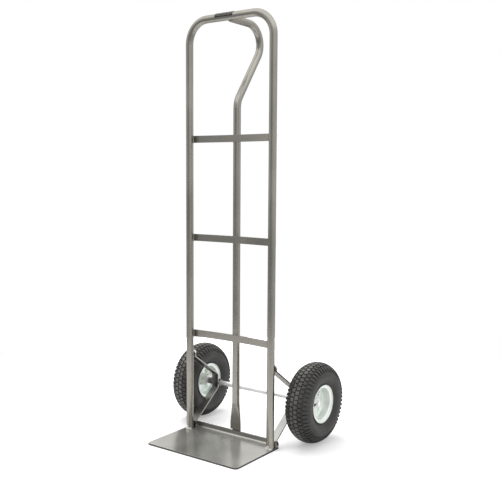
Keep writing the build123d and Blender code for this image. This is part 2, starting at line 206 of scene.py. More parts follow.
def make_height_share():
    """Share of painted light, which goes from one value to another between two heights."""
    inputs = {"Low": 0.0, "High": 1.0, "Share Below": 0.0, "Share Above": 1.0}
    tree, given, result = shader_group("height_share", inputs, ("Share",))
    share = spread(tree, own_axes(tree)["Z"], *(given[name] for name in inputs))
    tree.links.new(share, result["Share"])
    return tree


axle_distance = make_axle_distance()
height_share = make_height_share()
print("shared groups:", [group.name for group in bpy.data.node_groups])

# %% Helpers for materials
NOISE_RANGE = (0.3, 0.7)


def grouped(tree, group, **inputs):
    """Outputs of a shared group; underscores in the names of its inputs stand for spaces."""
    made = node(tree, "ShaderNodeGroup", None, node_tree=group)
    for name, value in inputs.items():
        made.inputs[name.replace("_", " ")].default_value = value
    return made.outputs


def share_by_height(tree, low, high, below, above):
    """Share of painted light between two heights."""
    return grouped(tree, height_share, Low=low, High=high, Share_Below=below, Share_Above=above)["Share"]


def new_material(name, fixed):
    """Material with a Principled shader, its fixed values set on the shader's own sockets."""
    material = bpy.data.materials.new(name)
    material.use_nodes = True
    tree = material.node_tree
    shader = tree.nodes["Principled BSDF"]
    for socket, value in fixed.items():
        shader.inputs[socket].default_value = value
    return material, tree, shader


def roughen(tree, shader, pattern, low, high, within=NOISE_RANGE):
    """Let a pattern carry the roughness from one value to another."""
    rough = spread(tree, pattern, *within, low, high)
    tree.links.new(rough, shader.inputs["Roughness"])


def bump(tree, shader, height, strength, depth):
    """Raise the surface by a height pattern, depth in metres."""
    made = node(tree, "ShaderNodeBump", {"Height": height, "Strength": strength, "Distance": depth})
    tree.links.new(made.outputs["Normal"], shader.inputs["Normal"])


print("helpers for materials are ready")

# %% [markdown]
# ## Painted shade and highlights
# Some light and shade is painted into the colours here. The post's foot, the plate's flange and
# cut edge, and the left strap's lower end are darkened as painted shade, and the straps are
# darkened about the axle as painted shade from the wheel. The plate's top edge gets a painted
# highlight, and the straps' narrow sides a tone of their own for how light picks them out. This
# could be painted on by hand. Here the shader measures a height, a distance or an edge on the
# piece itself, so that no piece has to be unwrapped first.

# %% Painted shade on the post's foot
# A near-black tone for painted shade, used on the post's foot, the plate's flange and the left strap.
PAINTED_SHADE_TONE = (0.030, 0.026, 0.022, 1.0)
# Two heights, then the share of painted shade below the first and above the second.
FOOT_SHADE = (64.0 * MM, 90.0 * MM, 0.38, 0.0)
FOOT_REACH = (30.0 * MM, 40.0 * MM)


def foot_painted_shade(tree, colour):
    """Painted shade: darken the post's pressed foot, which sits in shade behind the toe plate."""
    off_middle = math_node(tree, "ABSOLUTE", own_axes(tree)["X"])
    on_foot = spread(tree, off_middle, *FOOT_REACH, 1.0, 0.0)
    share = math_node(tree, "MULTIPLY", share_by_height(tree, *FOOT_SHADE), on_foot)
    return blend_colour(tree, share, colour, PAINTED_SHADE_TONE)


print("painted shade on the foot up to", FOOT_SHADE[1], "m")

# %% Edges of the toe plate
# Painted shade on the flange, above the first of these heights.
FLANGE_SHADE, FLANGE_SHADE_SHARE = (8.5 * MM, 10.5 * MM), 0.58
PLATE_CORNER = 13.0 * MM
# A painted highlight: a pale band just inside the plate's outline.
HIGHLIGHT_BAND, HIGHLIGHT_SHARE = (1.5 * MM, 3.8 * MM), 0.75
PAINTED_HIGHLIGHT_TONE = (0.66, 0.65, 0.62, 1.0)
# Painted shade on the plate's narrow outer edge.
EDGE_SHADE_BAND, EDGE_SHADE_SHARE = (0.4 * MM, 1.1 * MM), 0.95
EDGE_SHADE_TONE = (0.035, 0.034, 0.032, 1.0)


def plate_edges(tree, colour):
    """Painted light on the toe plate: a painted highlight along its top edge, and painted shade on its cut edge
    and on its flange.
    """
    low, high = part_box("toe_plate")
    start, end = (low.z + rise for rise in FLANGE_SHADE)
    shaded = blend_colour(tree, share_by_height(tree, start, end, 0.0, FLANGE_SHADE_SHARE), colour, PAINTED_SHADE_TONE)
    across, along, _ = own_axes(tree)
    aside = math_node(tree, "SUBTRACT", math_node(tree, "ABSOLUTE", across), high.x - PLATE_CORNER)
    ahead = math_node(tree, "SUBTRACT", low.y + PLATE_CORNER, along)
    beyond = {0: math_node(tree, "MAXIMUM", aside), 1: math_node(tree, "MAXIMUM", ahead)}
    corner = node(tree, "ShaderNodeCombineXYZ", beyond).outputs[0]
    reach = node(tree, "ShaderNodeVectorMath", {0: corner}, operation="LENGTH").outputs["Value"]
    inset = math_node(tree, "SUBTRACT", PLATE_CORNER, reach)
    highlight_share = spread(tree, inset, *HIGHLIGHT_BAND, HIGHLIGHT_SHARE, 0.0)
    bright = blend_colour(tree, highlight_share, shaded, PAINTED_HIGHLIGHT_TONE)
    edge_shade_mask = spread(tree, inset, *EDGE_SHADE_BAND, EDGE_SHADE_SHARE, 0.0)
    return blend_colour(tree, edge_shade_mask, bright, EDGE_SHADE_TONE)


print("painted highlight on the toe plate's edge up to", HIGHLIGHT_BAND[1], "m wide")

# %% Painted shade and edge tone on the axle straps
# Painted shade about the axle, where the wheel shades the straps.
HUB_SHADE_REACH, HUB_SHADE_SHARE = (34.0, 58.0), 0.7
HUB_SHADE_TONE = (0.09, 0.089, 0.086, 1.0)
# Painted shade on the left strap's lower end only.
LEFT_STRAP_SHADE = (34.0 * MM, 72.0 * MM, 0.72, 0.0)
# Painted light: a tone of their own on the strap's narrow sides, for how light picks out its edges.
EDGE_LINE_BAND, EDGE_LINE_SHARE = (0.1 * MM, 0.5 * MM), 0.9
PAINTED_EDGE_LINE = (0.33, 0.327, 0.31, 1.0)


def strap_painted_light(tree, colour):
    """Painted shade about the axle and on the left strap's lower end, and a painted tone on the narrow sides for
    how light picks out the edges.
    """
    reach = grouped(tree, axle_distance)["Distance"]
    hub_shaded = blend_colour(tree, spread(tree, reach, *HUB_SHADE_REACH, HUB_SHADE_SHARE, 0.0), colour, HUB_SHADE_TONE)
    across = own_axes(tree)["X"]
    on_left = math_node(tree, "LESS_THAN", across, 0.0)
    share = math_node(tree, "MULTIPLY", share_by_height(tree, *LEFT_STRAP_SHADE), on_left)
    shaded = blend_colour(tree, share, hub_shaded, PAINTED_SHADE_TONE)
    aside = math_node(tree, "SUBTRACT", math_node(tree, "ABSOLUTE", across), middle("right_axle_strap").x)
    half = extent("right_axle_strap").x / 2
    inset = math_node(tree, "SUBTRACT", half, math_node(tree, "ABSOLUTE", aside))
    edge_line = spread(tree, math_node(tree, "ABSOLUTE", inset), *EDGE_LINE_BAND, EDGE_LINE_SHARE, 0.0)
    return blend_colour(tree, edge_line, shaded, PAINTED_EDGE_LINE)


print("painted shade on the straps within", HUB_SHADE_REACH[1], "mm of the axle")

# %% [markdown]
# ## Metallic grey paint
# The frame wears a grey paint with fine metal flake under a thin clear skin. Sprayed paint
# has a slight orange peel, and its gloss is a little uneven where hands have rubbed it.
# An image could show all this, but noise stays sharp from close by and needs no seams. The
# same recipe serves the frame, the welds, the paler toe plate and the paler straps, so it is
# one function with the tones and the roughness as its values. The toe plate's paler grey is
# painted light: a paler copy of the frame's paint, for the light that the upward-facing plate catches.

# %% Paint finishes
FLAKE_SCALE, HANDLING_SCALE, PEEL_SCALE = 2600.0, 7.0, 260.0
FLAKE_RANGE = (0.35, 0.68)
HANDLING_RANGE, HANDLING_VALUES = (0.35, 0.7), (0.86, 1.08)
PAINT_ROUGH_RANGE = (0.3, 0.75)
SMOOTHER, ROUGHER = 0.05, 0.08
PEEL_DEPTH = 0.4 * MM
CLEAR_SKIN_ROUGHNESS = 0.15
EDGE_TINT = (0.5, 0.49, 0.46, 1.0)


def make_paint(name, dark, light, metallic, rough, coat, peel, painted_light=None):
    """Metallic paint: flake tint, uneven gloss, orange peel and, where given, painted light and shade."""
    material, tree, shader = new_material(name, {
        "Metallic": metallic, "Coat Weight": coat, "Coat Roughness": CLEAR_SKIN_ROUGHNESS,
        "Specular Tint": EDGE_TINT})
    fine = grouped(tree, skin, Grain_Scale=FLAKE_SCALE, Cloud_Scale=HANDLING_SCALE)
    flake = spread(tree, fine["Grain"], *FLAKE_RANGE)
    tint = blend_colour(tree, flake, (*dark, 1.0), (*light, 1.0))
    handled = spread(tree, fine["Cloud"], *HANDLING_RANGE, *HANDLING_VALUES)
    colour = node(tree, "ShaderNodeHueSaturation", {"Value": handled, "Color": tint}).outputs["Color"]
    if painted_light:
        colour = painted_light(tree, colour)
    tree.links.new(colour, shader.inputs["Base Color"])
    roughen(tree, shader, fine["Cloud"], rough - SMOOTHER, rough + ROUGHER, PAINT_ROUGH_RANGE)
    peeled = grouped(tree, skin, Grain_Scale=PEEL_SCALE)
    bump(tree, shader, peeled["Grain"], peel, PEEL_DEPTH)
    return material


frame_paint = make_paint(
    "frame_paint", dark=(0.348, 0.336, 0.299), light=(0.372, 0.359, 0.320),
    metallic=0.93, rough=0.25, coat=0.08, peel=0.003, painted_light=foot_painted_shade)
weld_paint = make_paint(
    "weld_paint", dark=(0.34, 0.33, 0.30), light=(0.44, 0.43, 0.39),
    metallic=0.90, rough=0.25, coat=0.2, peel=0.10)
# Painted light: the toe plate's paler grey stands in for the light it catches from above.
toe_plate_paint = make_paint(
    "toe_plate_paint", dark=(0.545, 0.541, 0.508), light=(0.590, 0.586, 0.551),
    metallic=0.72, rough=0.225, coat=0.2, peel=0.002, painted_light=plate_edges)
strap_paint = make_paint(
    "strap_paint", dark=(0.47, 0.469, 0.455), light=(0.54, 0.539, 0.523),
    metallic=0.95, rough=0.24, coat=0.0, peel=0.02, painted_light=strap_painted_light)
print("paints:", [paint.name for paint in (frame_paint, weld_paint, toe_plate_paint, strap_paint)])

# %% [markdown]
# ## Zinc plate and bearing steel
# The axle and the fasteners are bright zinc, drawn along their length. The pressed rims are
# a paler zinc with a faint green and straw passivation that clouds over the dish. A plain
# mirror would look like chrome. The film on zinc scatters some light, so it is only partly
# metallic here, while bearing steel is fully so. Most of a metal's colour is in its
# reflections, so the variation goes into tint and roughness.

# %% Drawn zinc and steel
DRAWN_SCALE, DRAWN_STRETCH = 900.0, 0.03
ZINC_CLOUDS, DULL_SHARE = (0.35, 0.7), 0.86


def make_drawn_zinc(name, tone, rough, metallic):
    """Bright metal with fine lines along the rod."""
    material, tree, shader = new_material(name, {"Metallic": metallic})
    drawn = grouped(tree, drawn_lines, Along_X=DRAWN_STRETCH, Scale=DRAWN_SCALE)
    fine = grouped(tree, skin, Grain_Scale=1200.0, Cloud_Scale=30.0)
    dull = tuple(DULL_SHARE * part for part in tone)
    tint = blend_colour(tree, spread(tree, fine["Cloud"], *ZINC_CLOUDS), (*dull, 1.0), (*tone, 1.0))
    tree.links.new(tint, shader.inputs["Base Color"])
    roughen(tree, shader, drawn["Lines"], low=rough - 0.06, high=rough + 0.10)
    bump(tree, shader, drawn["Lines"], strength=0.05, depth=0.1 * MM)
    return material


bright_zinc = make_drawn_zinc("bright_zinc", (0.96, 0.965, 0.965), rough=0.30, metallic=0.85)
# Near-white and mostly matt: a painted glint for the tacks at the feet.
tack_zinc = make_drawn_zinc("tack_zinc", (0.95, 0.95, 0.93), rough=0.45, metallic=0.20)
bearing_steel = make_drawn_zinc("bearing_steel", (0.56, 0.56, 0.57), rough=0.30, metallic=1.0)
print("drawn metals:", [metal.name for metal in (bright_zinc, tack_zinc, bearing_steel)])

# %% Rim zinc
RIM_CLOUDS = (0.35, 0.68)
RIM_GREEN, RIM_STRAW = (0.80, 0.87, 0.83, 1.0), (0.93, 0.94, 0.90, 1.0)
RING_WAVES, RING_SHARE = 5.5, 0.2


def make_rim_zinc():
    """Pale passivated zinc with pressing rings about the axle."""
    material, tree, shader = new_material("rim_zinc", {"Metallic": 0.6})
    fine = grouped(tree, skin, Grain_Scale=700.0, Cloud_Scale=26.0)
    tint = blend_colour(tree, spread(tree, fine["Cloud"], *RIM_CLOUDS), RIM_GREEN, RIM_STRAW)
    tree.links.new(tint, shader.inputs["Base Color"])
    roughen(tree, shader, fine["Grain"], low=0.30, high=0.42)
    reach = grouped(tree, axle_distance)["Distance"]
    ring_wave = math_node(tree, "SINE", math_node(tree, "MULTIPLY", reach, RING_WAVES))
    pressed = math_node(tree, "MULTIPLY", ring_wave, RING_SHARE)
    bump(tree, shader, math_node(tree, "ADD", pressed, fine["Grain"]), strength=0.08, depth=0.15 * MM)
    return material


rim_zinc = make_rim_zinc()
print("pressed metal:", rim_zinc.name)

# %% [markdown]
# ## Rubber
# Tyre rubber is a warm charcoal. The tops of the blocks are scuffed grey, while the grooves
# and the sidewall stay dark. The tops could be faces with a material of their own, but the
# distance from the axle tells them apart with a soft border, and because it is measured on
# the piece itself, the pattern turns with the wheel. The grip on the top bar is a plainer
# rubber with a painted highlight: it turns pale towards its crest.

# %% Tyre rubber
SCUFF_START, SCUFF_FULL = 4.5, 0.5
SCUFF_CLOUDS, SCUFF_SHARES = (0.3, 0.65), (0.35, 1.0)
CHARCOAL, DUSTY_CHARCOAL = (0.029, 0.028, 0.027, 1.0), (0.050, 0.048, 0.046, 1.0)
SCUFFED_RUBBER = (0.160, 0.154, 0.144, 1.0)


def make_tyre_rubber():
    """Charcoal rubber, scuffed on the tread."""
    material, tree, shader = new_material("tyre_rubber", {"Specular IOR Level": 0.5})
    fine = grouped(tree, skin, Grain_Scale=1100.0, Cloud_Scale=22.0)
    reach = grouped(tree, axle_distance)["Distance"]
    top = tyre_radius / MM
    scuffed = spread(tree, reach, top - SCUFF_START, top - SCUFF_FULL)
    uneven = spread(tree, fine["Cloud"], *SCUFF_CLOUDS, *SCUFF_SHARES)
    base = blend_colour(tree, spread(tree, fine["Cloud"], *NOISE_RANGE), CHARCOAL, DUSTY_CHARCOAL)
    scuff_and_crest_highlight = blend_colour(tree, math_node(tree, "MULTIPLY", scuffed, uneven), base, SCUFFED_RUBBER)
    tree.links.new(scuff_and_crest_highlight, shader.inputs["Base Color"])
    roughen(tree, shader, fine["Grain"], low=0.48, high=0.66)
    bump(tree, shader, fine["Grain"], strength=0.25, depth=0.3 * MM)
    return material


tyre_rubber = make_tyre_rubber()
print(tyre_rubber.name, "is scuffed beyond", round(tyre_radius / MM - SCUFF_START, 1), "mm from the axle")

# %% Rubber of the inner tubes and the grip
DUST_CLOUDS, DUST_GAIN, DUST_LIFT = (0.35, 0.75), 2.2, 0.006
# Painted highlight: the grip turns pale towards its crest.
CREST_HIGHLIGHT_START, CREST_HIGHLIGHT_FULL, CREST_HIGHLIGHT_SHARE = 8.0 * MM, 1.0 * MM, 0.85
PAINTED_HIGHLIGHT_RUBBER = (0.46, 0.46, 0.45, 1.0)


def make_plain_rubber(name, tone, rough, crest=None):
    """Moulded rubber with a matt grain and, where a crest's height is given, a painted highlight that turns it
    pale up there.
    """
    material, tree, shader = new_material(name, {"Specular IOR Level": 0.35})
    fine = grouped(tree, skin, Grain_Scale=1500.0, Cloud_Scale=40.0)
    dusty = tuple(part * DUST_GAIN + DUST_LIFT for part in tone)
    tint = blend_colour(tree, spread(tree, fine["Cloud"], *DUST_CLOUDS), (*tone, 1.0), (*dusty, 1.0))
    if crest is not None:
        scuff_and_crest_highlight = share_by_height(tree, crest - CREST_HIGHLIGHT_START, crest - CREST_HIGHLIGHT_FULL, 0.0, CREST_HIGHLIGHT_SHARE)
        tint = blend_colour(tree, scuff_and_crest_highlight, tint, PAINTED_HIGHLIGHT_RUBBER)
    tree.links.new(tint, shader.inputs["Base Color"])
    roughen(tree, shader, fine["Grain"], low=rough - 0.08, high=rough + 0.08)
    bump(tree, shader, fine["Grain"], strength=0.2, depth=0.2 * MM)
    return material


tube_rubber = make_plain_rubber("tube_rubber", (0.016, 0.016, 0.017), 0.5)
grip_rubber = make_plain_rubber("grip_rubber", (0.016, 0.016, 0.016), 0.6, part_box("hand_grip")[1].z)
print("plain rubbers:", [rubber.name for rubber in (tube_rubber, grip_rubber)])

# %% [markdown]
# ## Finishes on the solids
# Most solids are already the right shape, so they only swap their plain material for the
# finish of the same name. The record says which slot each node belongs to.

# %% Give every node its finish
finishes = {
    "frame_paint": frame_paint,
    "toe_plate_paint": toe_plate_paint,
    "strap_paint": strap_paint,
    "bright_zinc": bright_zinc,
    "rim_zinc": rim_zinc,
    "bearing_steel": bearing_steel,
    "tyre_rubber": tyre_rubber,
    "tube_rubber": tube_rubber,
    "grip_rubber": grip_rubber,
}
for entry in frame["record"]["subparts"]:
    solid = nodes[entry["node"]]
    solid.material_slots[0].material = finishes[entry["material_slot"]]

# %% [markdown]
# ## A way to grow pieces with Geometry Nodes
# Blocks of tread, bolts and weld ripples all repeat one small shape. A loop in the script
# could copy it. A geometry tree does so in one go, on points or along a line, and its named
# inputs show what can be changed. It realizes the copies and gives them a material, and the
# result is kept as a plain mesh, so that nothing has to be worked out again later.


# %% Helpers for geometry trees
def geometry_tree(name, kinds):
    """Geometry tree with named inputs of the given socket kinds."""
    tree = bpy.data.node_groups.new(name, "GeometryNodeTree")
    tree.interface.new_socket("Geometry", in_out="INPUT", socket_type="NodeSocketGeometry")
    for socket_name, kind in kinds.items():
        tree.interface.new_socket(socket_name, in_out="INPUT", socket_type="NodeSocket" + kind)
    tree.interface.new_socket("Geometry", in_out="OUTPUT", socket_type="NodeSocketGeometry")
    return tree, tree.nodes.new("NodeGroupInput").outputs, tree.nodes.new("NodeGroupOutput").inputs


def realize(tree, copies, finish, result):
    """End a tree: make the copies real and give them their material."""
    real = node(tree, "GeometryNodeRealizeInstances", {0: copies})
    tinted = node(tree, "GeometryNodeSetMaterial", {"Geometry": real.outputs[0], "Material": finish})
    tree.links.new(tinted.outputs[0], result["Geometry"])


def add_object(name, mesh):
    """Object at the origin, its place in its mesh."""
    made = bpy.data.objects.new(name, mesh)
    bpy.context.scene.collection.objects.link(made)
    return made


def grow(name, seed_mesh, tree, values):
    """Run a tree on a seed mesh and keep what it makes as a plain mesh."""
    seed = add_object(name + "_seed", seed_mesh)
    modifier = seed.modifiers.new("grow", "NODES")
    modifier.node_group = tree
    for socket in tree.interface.items_tree:
        if socket.in_out == "INPUT" and socket.name in values:
            modifier[socket.identifier] = values[socket.name]
    bpy.context.view_layer.update()
    depsgraph = bpy.context.evaluated_depsgraph_get()
    grown = bpy.data.meshes.new_from_object(seed.evaluated_get(depsgraph))
    seed.modifiers.clear()
    bpy.data.objects.remove(seed)
    return add_object(name, grown)


print("helpers for geometry trees are ready")

# %% [markdown]
# ## A way to skin rings of points
# A tyre, a bolt and a block of tread can each be described by a few sections. Skinning joins
# equal rings of points with quads, and either caps the two ends or joins them. It gives
# closed meshes with few faces, and the faces are turned outwards before the mesh is used.


# %% Helpers for meshes
def mesh_from(name, points, faces, smooth=False):
    """Closed mesh with its faces turned outwards."""
    mesh = bpy.data.meshes.new(name)
    mesh.from_pydata(points, [], faces)
    shape = bmesh.new()
    shape.from_mesh(mesh)
    bmesh.ops.recalc_face_normals(shape, faces=shape.faces)
    for face in shape.faces:
        face.smooth = smooth
    shape.to_mesh(mesh)
    shape.free()
    return mesh


def skin_rings(name, rings, smooth=False, closed=False):
    """Mesh through equal rings of points: capped at both ends, or joined end to end."""
    count = len(rings[0])
    points = [point for ring in rings for point in ring]
    faces = []
    steps = len(rings) if closed else len(rings) - 1
    for step in range(steps):
        near = step * count
        far = (step + 1) % len(rings) * count
        for side in range(count):
            after = (side + 1) % count
            faces.append((near + side, near + after, far + after, far + side))
    if not closed:
        faces.append(tuple(range(count)))
        faces.append(tuple(range(len(points) - count, len(points))))
    return mesh_from(name, points, faces, smooth)


print("helpers for meshes are ready")

# %% [markdown]
# ## Tyre carcass
# A pneumatic tyre is a round-shouldered ring whose wall bulges past the rim. A torus would be
# quick, but its section is a plain circle. A tyre's is close to two half ovals that meet at
# the widest place: a flat one out to the crown and a taller one in to the rim. Spinning that
# section about the axle gives the ring. Two raised rings are moulded into each side near the
# rim. On a real tyre they show whether it sits evenly on the rim, and here they break up the
# plain wall.

# %% Tyre section
BELLY_HALF = 42.0
BELLY_REACH = 90.0
CROWN_RISE = 33.0
RIM_FALL = 38.7
RIM_ANGLE = 50.3
WALL = 6.0
TYRE_BEAD = [(24.8, 50.2), (13.3, 50.2), (13.3, 56.2)]
QUARTER = 90
CROWN_STEPS, WALL_STEPS = 14, 8
INNER_ANGLE = 44
INNER_CROWN_STEPS, INNER_WALL_STEPS = 9, 5
RIDGE_ANGLES = (26.0, 41.0)
RIDGE_SECTION = ((-2.0, -0.8), (-1.2, 0.6), (1.2, 0.6), (2.0, -0.8))


def crown_point(angle, rise=0.0):
    """Point of the section over the crown, degrees from its middle, raised above the wall."""
    turn = math.radians(angle)
    return Vector(((BELLY_HALF + rise) * math.sin(turn), BELLY_REACH + (CROWN_RISE + rise) * math.cos(turn)))


def wall_point(angle, rise=0.0):
    """Point of the sidewall, degrees below its widest place."""
    turn = math.radians(angle)
    return Vector(((BELLY_HALF + rise) * math.cos(turn), BELLY_REACH - (RIM_FALL + rise) * math.sin(turn)))


def carcass_outline():
    """Whole section: out over the crown, down to the bead and back inside the wall."""
    half = [crown_point(QUARTER * step / CROWN_STEPS) for step in range(CROWN_STEPS + 1)]
    half += [wall_point(RIM_ANGLE * step / WALL_STEPS) for step in range(1, WALL_STEPS + 1)]
    half += [Vector(corner) for corner in TYRE_BEAD]
    for step in range(INNER_WALL_STEPS, 0, -1):
        half.append(wall_point(INNER_ANGLE * step / INNER_WALL_STEPS, -WALL))
    for step in range(INNER_CROWN_STEPS, -1, -1):
        half.append(crown_point(QUARTER * step / INNER_CROWN_STEPS, -WALL))
    return [tuple(point) for point in half] + [(-point.x, point.y) for point in reversed(half[1:-1])]


def ridge_outline(angle, side):
    """Low moulded ridge on a sidewall, from its section of turns and rises."""
    ridge = [wall_point(angle + turn, rise) for turn, rise in RIDGE_SECTION]
    return [(side * point.x, point.y) for point in ridge]


print("points in the tyre's section:", len(carcass_outline()))

# %% Spin the carcass
WHEEL_STEPS = 108


def spin(name, outline):
    """Closed section of axial and radial millimetres, spun about the X axis."""
    rings = []
    for step in range(WHEEL_STEPS):
        angle = 2 * math.pi * step / WHEEL_STEPS
        rings.append([Vector((axial, radial * math.sin(angle), radial * math.cos(angle))) * MM
                      for axial, radial in outline])
    return skin_rings(name, rings, smooth=True, closed=True)


def carcass_mesh(centre):
    """Carcass and its moulded rings, about a wheel's centre."""
    shape = bmesh.new()
    shape.from_mesh(spin("carcass", carcass_outline()))
    for angle in RIDGE_ANGLES:
        for side in (-1, 1):
            shape.from_mesh(spin("mould_ring", ridge_outline(angle, side)))
    bmesh.ops.translate(shape, verts=shape.verts, vec=centre)
    mesh = bpy.data.meshes.new("carcass_rings")
    shape.to_mesh(mesh)
    shape.free()
    return mesh


print("steps about the axle:", WHEEL_STEPS)

# %% [markdown]
# ## Tread
# The tread is rows of small blocks: two rows over the crown, a row on each shoulder, and
# lugs that run out on the sides. A bump in the rubber would vanish from the tyre's outline,
# so the blocks are real shapes. Each is skinned through a few sections, slid sideways in turn,
# which gives the saw-toothed edges. One geometry tree turns the blocks about the axle; the
# rows differ only in their block and their phase.

# %% Tread blocks
BLOCK_ROOT = -2.5
BLOCK_CHAMFER = 0.7
CROWN_BLOCK = [(1.9, 3.8, 5.2, 0.9), (6.7, 3.9, 5.6, -0.9), (11.6, 3.9, 5.6, 0.9), (16.6, 3.8, 5.2, -0.9)]
SHOULDER_BLOCK = [(20.5, 3.7, 5.2, 0.9), (27.5, 3.6, 5.4, -0.9), (34.5, 3.6, 5.0, 0.9)]
SIDE_LUG = [(39.0, 3.6, 4.8, -0.6), (49.0, 3.8, 4.3, 0.5), (60.0, 3.6, 3.5, -0.2), (68.5, 2.6, 2.7, 0.0)]
# The stations of each kind of block, and its shift about the axle in steps of the tread.
BLOCK_KINDS = {"crown": (CROWN_BLOCK, 0.0), "shoulder": (SHOULDER_BLOCK, 0.5), "side": (SIDE_LUG, 0.0)}


def block_mesh(name, stations, side):
    """Tapered rubber block at the top of the wheel, through stations of angle, height, half and slide."""
    rings = []
    for angle, height, half, slide in stations:
        foot, edge, top = (crown_point(angle, rise) for rise in (BLOCK_ROOT, height - BLOCK_CHAMFER, height))
        flat = half - BLOCK_CHAMFER
        section = ((foot, -half), (edge, -half), (top, -flat), (top, flat), (edge, half), (foot, half))
        rings.append([Vector((side * point.x, run + slide, point.y)) * MM for point, run in section])
    return skin_rings(name, rings)


print("kinds of block:", list(BLOCK_KINDS))


# %% Tree for the tread
def tread_tree(rows):
    """Carcass with rows of blocks turned about the axle."""
    kinds = {"Centre": "Vector", "Count": "Int", "Rubber": "Material"}
    for row in rows:
        kinds[row + " block"] = "Object"
        kinds[row + " phase"] = "Float"
    tree, given, result = geometry_tree("tread", kinds)
    points = node(tree, "GeometryNodePoints", {"Count": given["Count"], "Position": given["Centre"]})
    index = node(tree, "GeometryNodeInputIndex").outputs[0]
    pitch = math_node(tree, "DIVIDE", 2 * math.pi, given["Count"])
    joined = node(tree, "GeometryNodeJoinGeometry")
    for row in rows:
        place = math_node(tree, "ADD", index, given[row + " phase"])
        angle = math_node(tree, "MULTIPLY", place, pitch)
        euler = node(tree, "ShaderNodeCombineXYZ", {"X": angle}).outputs[0]
        turn = node(tree, "FunctionNodeEulerToRotation", {"Euler": euler}).outputs[0]
        block = node(tree, "GeometryNodeObjectInfo", {"Object": given[row + " block"]}).outputs["Geometry"]
        copies = node(tree, "GeometryNodeInstanceOnPoints",
                      {"Points": points.outputs[0], "Instance": block, "Rotation": turn})
        tree.links.new(copies.outputs[0], joined.inputs[0])
    tree.links.new(given["Geometry"], joined.inputs[0])
    realize(tree, joined.outputs[0], given["Rubber"], result)
    return tree


print("the tree turns each row of blocks about the axle")

# %% Dress the tyres
TREAD_COUNT = 54
# The side of the crown's middle that a row lies on, and its lead in steps of the tread.
TREAD_SIDES = {"inner": (-1, 0.0), "outer": (1, 0.5)}


def dress_tyres():
    """Both tyres, each in the place of its solid."""
    rows = {}
    for side_name, (side, lead) in TREAD_SIDES.items():
        for kind, (stations, shift) in BLOCK_KINDS.items():
            mesh = block_mesh(f"{side_name}_{kind}", stations, side)
            rows[f"{side_name} {kind}"] = (add_object(mesh.name, mesh), lead + shift)
    tree = tread_tree(list(rows))
    for wheel, centre in wheel_places.items():
        values = {"Centre": centre, "Count": TREAD_COUNT, "Rubber": tyre_rubber}
        for row, (block, phase) in rows.items():
            values[row + " block"] = block
            values[row + " phase"] = phase
        side_name = wheel.split("_")[0]
        tyre = grow(f"{side_name}_tyre_dressed", carcass_mesh(centre), tree, values)
        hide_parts(f"{side_name}_tyre")
        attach(tyre, wheel)
        print(tyre.name, "faces:", len(tyre.data.polygons))
    for block, _ in rows.values():
        bpy.data.objects.remove(block)


dress_tyres()

# %% [markdown]
# ## Bolts, nuts and washers
# A real hex head isn't a plain prism: its corners are turned off at the top, a washer face
# lies under it, and threads show where the bolt leaves its nut. Each kind is skinned once
# from rings of points. A geometry tree then sets it on every seat of its group, so that the
# copies are exactly alike.

# %% Rings of points
HEX_POINTS = 24
THREAD_PITCH, THREAD_DEPTH = 1.0, 0.5
FIRST_CREST = 0.3
SHANK_CHAMFER = 0.8


def hex_ring(flats, height, corner_cut=0.0):
    """Ring of points on a hexagon, its corners lowered by a turned chamfer."""
    points = []
    inner = flats / 2
    for step in range(HEX_POINTS):
        angle = 2 * math.pi * step / HEX_POINTS
        off_flat = (angle + math.pi / 6) % (math.pi / 3) - math.pi / 6
        reach = inner / math.cos(off_flat)
        rise = height - corner_cut * (reach - inner) / (inner * (2 / math.sqrt(3) - 1))
        points.append(Vector((reach * math.cos(angle), reach * math.sin(angle), rise)) * MM)
    return points


def round_ring(radius, height):
    """Ring of points on a circle."""
    angles = [2 * math.pi * step / HEX_POINTS for step in range(HEX_POINTS)]
    return [Vector((radius * math.cos(a), radius * math.sin(a), height)) * MM for a in angles]


def thread_rings(radius, length):
    """Rings of a threaded shank that hangs from height 0, its end turned off."""
    rings = [round_ring(radius, 0.0)]
    turns = max(1, int((length - 1) // THREAD_PITCH))
    for turn in range(turns):
        crest = -FIRST_CREST - turn * THREAD_PITCH
        rings += [round_ring(radius, crest), round_ring(radius - THREAD_DEPTH, crest - THREAD_PITCH / 2)]
    return rings + [round_ring(radius, SHANK_CHAMFER - length), round_ring(radius - SHANK_CHAMFER, -length)]


print("points in a ring of a fastener:", len(round_ring(1.0, 0.0)))

# %% Fastener shapes
M8 = {"diameter": 8.0, "flats": 13.0, "head": 5.3, "nut": 6.5, "washer": 16.0}
M6 = {name: size * 0.75 for name, size in M8.items()}
FACE_SHARE = 0.47
DISH_SHARE, DISH_DEPTH = 0.86, 0.15
HEAD_CUT, NUT_CUT = 0.16, 0.12
COLLAR_TOP, COLLAR_FOOT = 0.4, 0.35
THREAD_PLAY = 0.05
BORE_CHAMFER = 0.5
WASHER_PLAY, WASHER_THICKNESS = 0.2, 1.6
WASHER_BURR, WASHER_ROUND = 0.25, 0.35


def bolt_mesh(name, size, shank):
    """Bolt with its head on +Z and a threaded shank of a given length."""
    flats, head, radius = size["flats"], size["head"], size["diameter"] / 2
    face = FACE_SHARE * flats
    rings = [round_ring(face * DISH_SHARE, head - DISH_DEPTH), round_ring(face, head)]
    rings += [hex_ring(flats, head, HEAD_CUT * head), hex_ring(flats, COLLAR_TOP)]
    rings += [round_ring(face, COLLAR_FOOT), round_ring(face, 0.0)]
    return skin_rings(name, rings + thread_rings(radius - THREAD_PLAY, shank))


